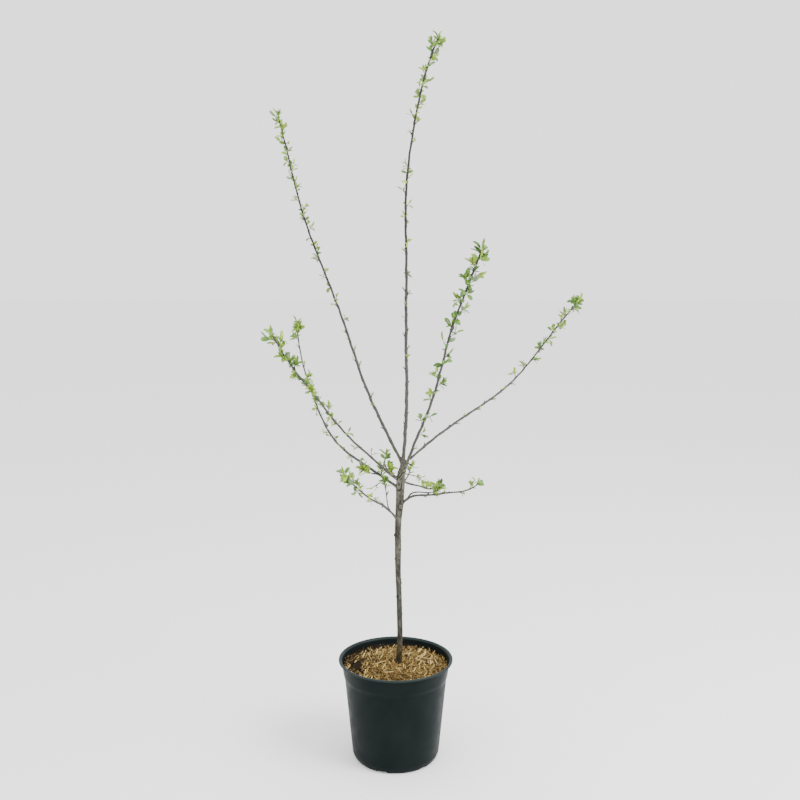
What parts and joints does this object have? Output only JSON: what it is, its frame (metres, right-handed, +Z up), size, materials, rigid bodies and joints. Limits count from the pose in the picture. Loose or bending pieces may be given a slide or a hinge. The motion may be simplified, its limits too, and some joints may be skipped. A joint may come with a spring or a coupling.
{
  "type": "potted tree",
  "caption": "Young apricot tree with a slim forked trunk and long leafy shoots, standing in a round plastic nursery pot topped with wood shavings.",
  "frame": {"origin": "centre of the pot's flat underside, on the ground", "axes": "+Z up along the trunk; -Y towards the viewer, so the leader leans to +X and the long upper left bough to -X"},
  "size_m": [0.7858, 0.5298, 1.7443],
  "materials": {
    "pot_plastic": "satin, dark green-grey",
    "potting_mix": "moist, rough",
    "wood_shavings": "rough, loose",
    "trunk_bark": "rough bark",
    "bough_bark": "smooth young bark",
    "leaf_green": "soft, matt"
  },
  "bodies": {
    "root": {"pot": "pot_plastic", "root_ball": "potting_mix", "mulch": "wood_shavings", "trunk": "trunk_bark", "leader_bough": "bough_bark", "upper_left_bough": "bough_bark", "upper_right_bough": "bough_bark", "right_bough": "bough_bark", "mid_left_bough": "bough_bark", "low_left_bough": "bough_bark", "leader_foliage": "leaf_green", "upper_left_foliage": "leaf_green", "upper_right_foliage": "leaf_green", "right_foliage": "leaf_green", "mid_left_foliage": "leaf_green", "low_left_foliage": "leaf_green", "low_right_foliage": "leaf_green", "right_short_foliage": "leaf_green", "right_thin_foliage": "leaf_green", "lowest_left_foliage": "leaf_green", "inner_left_foliage": "leaf_green"}
  },
  "joints": []
}
